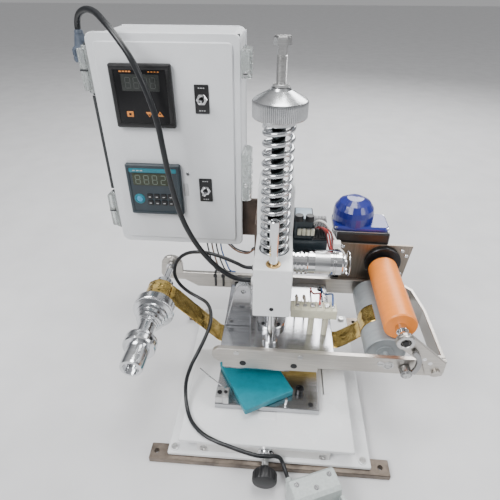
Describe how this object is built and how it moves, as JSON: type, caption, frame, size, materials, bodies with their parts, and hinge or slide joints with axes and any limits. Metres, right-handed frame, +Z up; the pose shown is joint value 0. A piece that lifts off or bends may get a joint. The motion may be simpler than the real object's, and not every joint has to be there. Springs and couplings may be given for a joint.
{
  "type": "hot foil stamper",
  "caption": "Benchtop hot foil stamping press: spring-returned heated ram over a sliding padded bed, powered foil feed, hinged control box and foot switch.",
  "frame": {"origin": "on the bench, at the middle of the base's underside between its two foot bars", "axes": "+X to the operator's right, +Y away from the operator, +Z up"},
  "size_m": [0.4605, 0.4507, 0.4778],
  "materials": {
    "white_enamel": "gloss",
    "warm_white": "satin",
    "box_grey": "satin",
    "grey_enamel": "hammered",
    "blue_enamel": "satin",
    "satin_steel": "satin",
    "brushed_steel": "brushed",
    "polished_steel": "ground",
    "knurled_steel": "knurled",
    "dark_steel": "browned",
    "black_steel": "blackened",
    "chrome": "bright",
    "aluminium": "turned",
    "bronze": "machined",
    "black_housing": "painted black",
    "black_plastic": "matte",
    "dark_plastic": "matte",
    "clear_plastic": "clear, glossy",
    "cyan_plastic": "gloss",
    "blue_grey_plastic": "matte",
    "cream_ceramic": "satin",
    "teal_silicone": "satin",
    "orange_rubber": "ground",
    "grey_rubber": "ground",
    "gold_foil": "metallised film",
    "black_rubber": "satin"
  },
  "bodies": {
    "base": {"base_plate": "white_enamel", "foot_bar_front": "dark_steel", "foot_bar_rear": "dark_steel", "table_riser": "warm_white", "table_plate": "white_enamel", "rear_column": "white_enamel", "head_block": "white_enamel", "ram_bush": "bronze", "guide_bush": "bronze", "drive_motor": "chrome", "relay_unit": "dark_plastic", "box_bracket": "dark_steel", "box_body": "box_grey", "mains_gland": "blue_grey_plastic", "power_supply": "aluminium", "mains_cable": "black_rubber", "foot_cable": "black_rubber", "foot_switch": "grey_enamel"},
    "bed": {"bed_plate": "polished_steel", "stamping_pad": "teal_silicone", "bed_screw": "black_steel", "stop_pin": "chrome", "side_clamp": "brushed_steel"},
    "adjuster": {"adjuster_knob": "black_plastic"},
    "ram": {"ram_shaft": "chrome", "stop_bolt": "brushed_steel", "return_spring": "chrome", "guide_rod": "chrome", "platen": "polished_steel", "heater_block": "aluminium", "heater_left": "black_steel", "heater_right": "black_steel", "die_plate": "polished_steel", "front_bar": "satin_steel", "back_bar": "satin_steel", "side_rib": "polished_steel", "terminal_board": "cream_ceramic", "reel_spindle": "chrome", "foil_web": "gold_foil", "motor_plate": "satin_steel", "feed_gearbox": "black_housing", "motor_cover": "blue_enamel", "end_bracket": "satin_steel"},
    "cap": {"knurled_cap": "knurled_steel"},
    "pinion": {"drive_pinion": "dark_steel"},
    "reel": {"supply_reel": "aluminium", "foil_roll": "gold_foil"},
    "feed": {"feed_roller": "grey_rubber"},
    "arm": {"pressure_arm": "satin_steel"},
    "pressure": {"pressure_roller": "orange_rubber"},
    "lever": {"release_lever": "chrome"},
    "door": {"box_door": "box_grey", "temperature_controller": "black_plastic", "counter_timer": "dark_plastic"},
    "button": {"start_button": "cyan_plastic"},
    "switch_upper": {"toggle_upper": "chrome"},
    "switch_lower": {"toggle_lower": "chrome"},
    "clip_upper": {"latch_upper": "clear_plastic"},
    "clip_lower": {"latch_lower": "clear_plastic"},
    "pedal": {"foot_pedal": "grey_enamel"}
  },
  "joints": [
    {"name": "ram_slide", "type": "slide", "parent": "base", "child": "ram", "axis": [0, 0, -1], "range_m": [0, 0.023], "stiffness_N_per_m": 14800, "springref_m": -0.012, "deforming": ["return_spring"]},
    {"name": "cap_turn", "type": "hinge", "parent": "ram", "child": "cap", "pos_m": [-0.004, -0.025, 0.4], "axis": [0, 0, 1], "continuous": true},
    {"name": "pinion_turn", "type": "hinge", "parent": "base", "child": "pinion", "pos_m": [-0.004, -0.011, 0.212], "axis": [1, 0, 0], "range_deg": [0, 147]},
    {"name": "adjuster_turn", "type": "hinge", "parent": "base", "child": "adjuster", "pos_m": [-0.003, -0.178, 0.022], "axis": [0, 1, 0], "range_deg": [-1800, 1800]},
    {"name": "bed_slide", "type": "slide", "parent": "base", "child": "bed", "axis": [0, 1, 0], "range_m": [-0.01, 0.01]},
    {"name": "feed_turn", "type": "hinge", "parent": "ram", "child": "feed", "pos_m": [0.141, 0, 0.112], "axis": [0, 1, 0], "continuous": true},
    {"name": "reel_turn", "type": "hinge", "parent": "ram", "child": "reel", "pos_m": [-0.158, 0, 0.14], "axis": [0, 1, 0], "continuous": true},
    {"name": "lever_turn", "type": "hinge", "parent": "ram", "child": "lever", "pos_m": [0.161, -0.088, 0.109], "axis": [0, 1, 0], "range_deg": [0, 40]},
    {"name": "arm_lift", "type": "hinge", "parent": "ram", "child": "arm", "pos_m": [0.196, -0.083, 0.111], "axis": [0, 1, 0], "range_deg": [0, 8.1]},
    {"name": "pressure_turn", "type": "hinge", "parent": "arm", "child": "pressure", "pos_m": [0.151, 0, 0.1585], "axis": [0, 1, 0], "continuous": true},
    {"name": "door_hinge", "type": "hinge", "parent": "base", "child": "door", "pos_m": [-0.227, 0.07, 0.318], "axis": [0, 0, -1], "range_deg": [0, 10]},
    {"name": "button_press", "type": "slide", "parent": "door", "child": "button", "axis": [0, 1, 0], "range_m": [0, 0.001], "stiffness_N_per_m": 400, "springref_m": -0.001},
    {"name": "switch_upper_throw", "type": "hinge", "parent": "door", "child": "switch_upper", "pos_m": [-0.096, 0.062, 0.385], "axis": [1, 0, 0], "range_deg": [-12.5, 12.5]},
    {"name": "switch_lower_throw", "type": "hinge", "parent": "door", "child": "switch_lower", "pos_m": [-0.098, 0.062, 0.2685], "axis": [1, 0, 0], "range_deg": [-12.5, 12.5]},
    {"name": "clip_upper_swing", "type": "hinge", "parent": "base", "child": "clip_upper", "pos_m": [-0.0465, 0.086, 0.409], "axis": [0, 0, 1], "range_deg": [0, 80]},
    {"name": "clip_lower_swing", "type": "hinge", "parent": "base", "child": "clip_lower", "pos_m": [-0.0465, 0.086, 0.256], "axis": [0, 0, 1], "range_deg": [0, 80]},
    {"name": "pedal_press", "type": "hinge", "parent": "base", "child": "pedal", "pos_m": [0.06098, -0.21608, 0.032], "axis": [0.9272, 0.3746, 0], "range_deg": [0, 6.9], "stiffness_Nm_per_rad": 4, "springref_deg": -3.44}
  ],
  "couplings": [
    {"joint": "pinion_turn", "follows": "ram_slide", "rad_per_m": 111.11},
    {"joint": "adjuster_turn", "follows": "bed_slide", "rad_per_m": 3141.6},
    {"joint": "reel_turn", "follows": "feed_turn", "ratio": 1.2755},
    {"joint": "pressure_turn", "follows": "feed_turn", "ratio": -1.25},
    {"joint": "arm_lift", "follows": "lever_turn", "ratio": 0.2}
  ]
}
